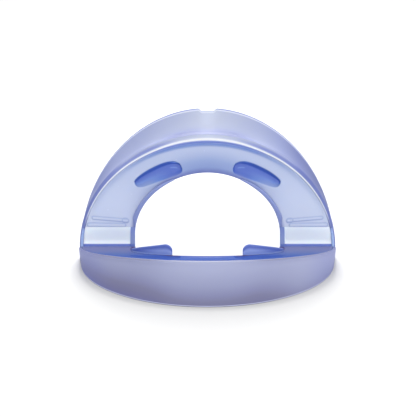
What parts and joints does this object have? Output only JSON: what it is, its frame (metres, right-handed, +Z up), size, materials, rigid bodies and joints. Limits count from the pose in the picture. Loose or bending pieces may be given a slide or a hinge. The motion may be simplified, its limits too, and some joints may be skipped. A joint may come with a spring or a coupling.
{
  "type": "cheek retractor",
  "caption": "Foldable translucent lip and cheek retractor: mirrored arch plates with flared lip flanges, joined by living hinges at the mouth corners.",
  "frame": {"origin": "middle of the base, on the surface that the lower flange's rim stands on", "axes": "+X across the mouth, +Y towards the back of the upper flange, -Y towards the front of the lower flange, +Z up"},
  "size_m": [0.08, 0.0631, 0.0446],
  "materials": {
    "clear_blue": "translucent, polished",
    "frosted_blue": "translucent, frosted satin",
    "hinge_blue": "thin translucent web, polished",
    "wing_blue": "thin translucent wall, frosted satin",
    "ledge_blue": "translucent, polished, deeper where thick"
  },
  "bodies": {
    "lower_half": {"lower_arch_plate": "clear_blue", "lower_lip_flange": "frosted_blue", "lower_left_finger_ledge": "ledge_blue", "lower_right_finger_ledge": "ledge_blue", "left_hinge_web": "hinge_blue", "right_hinge_web": "hinge_blue", "left_cheek_wing": "wing_blue", "right_cheek_wing": "wing_blue"},
    "upper_half": {"upper_arch_plate": "clear_blue", "upper_lip_flange": "frosted_blue", "upper_left_finger_ledge": "ledge_blue", "upper_right_finger_ledge": "ledge_blue"}
  },
  "joints": [
    {"name": "fold", "type": "hinge", "parent": "lower_half", "child": "upper_half", "pos_m": [0, 0.01293, 0.0041], "axis": [-1, 0, 0], "range_deg": [-50, 60], "stiffness_Nm_per_rad": 0.3, "deforming": ["left_hinge_web", "right_hinge_web", "left_cheek_wing", "right_cheek_wing"]}
  ]
}
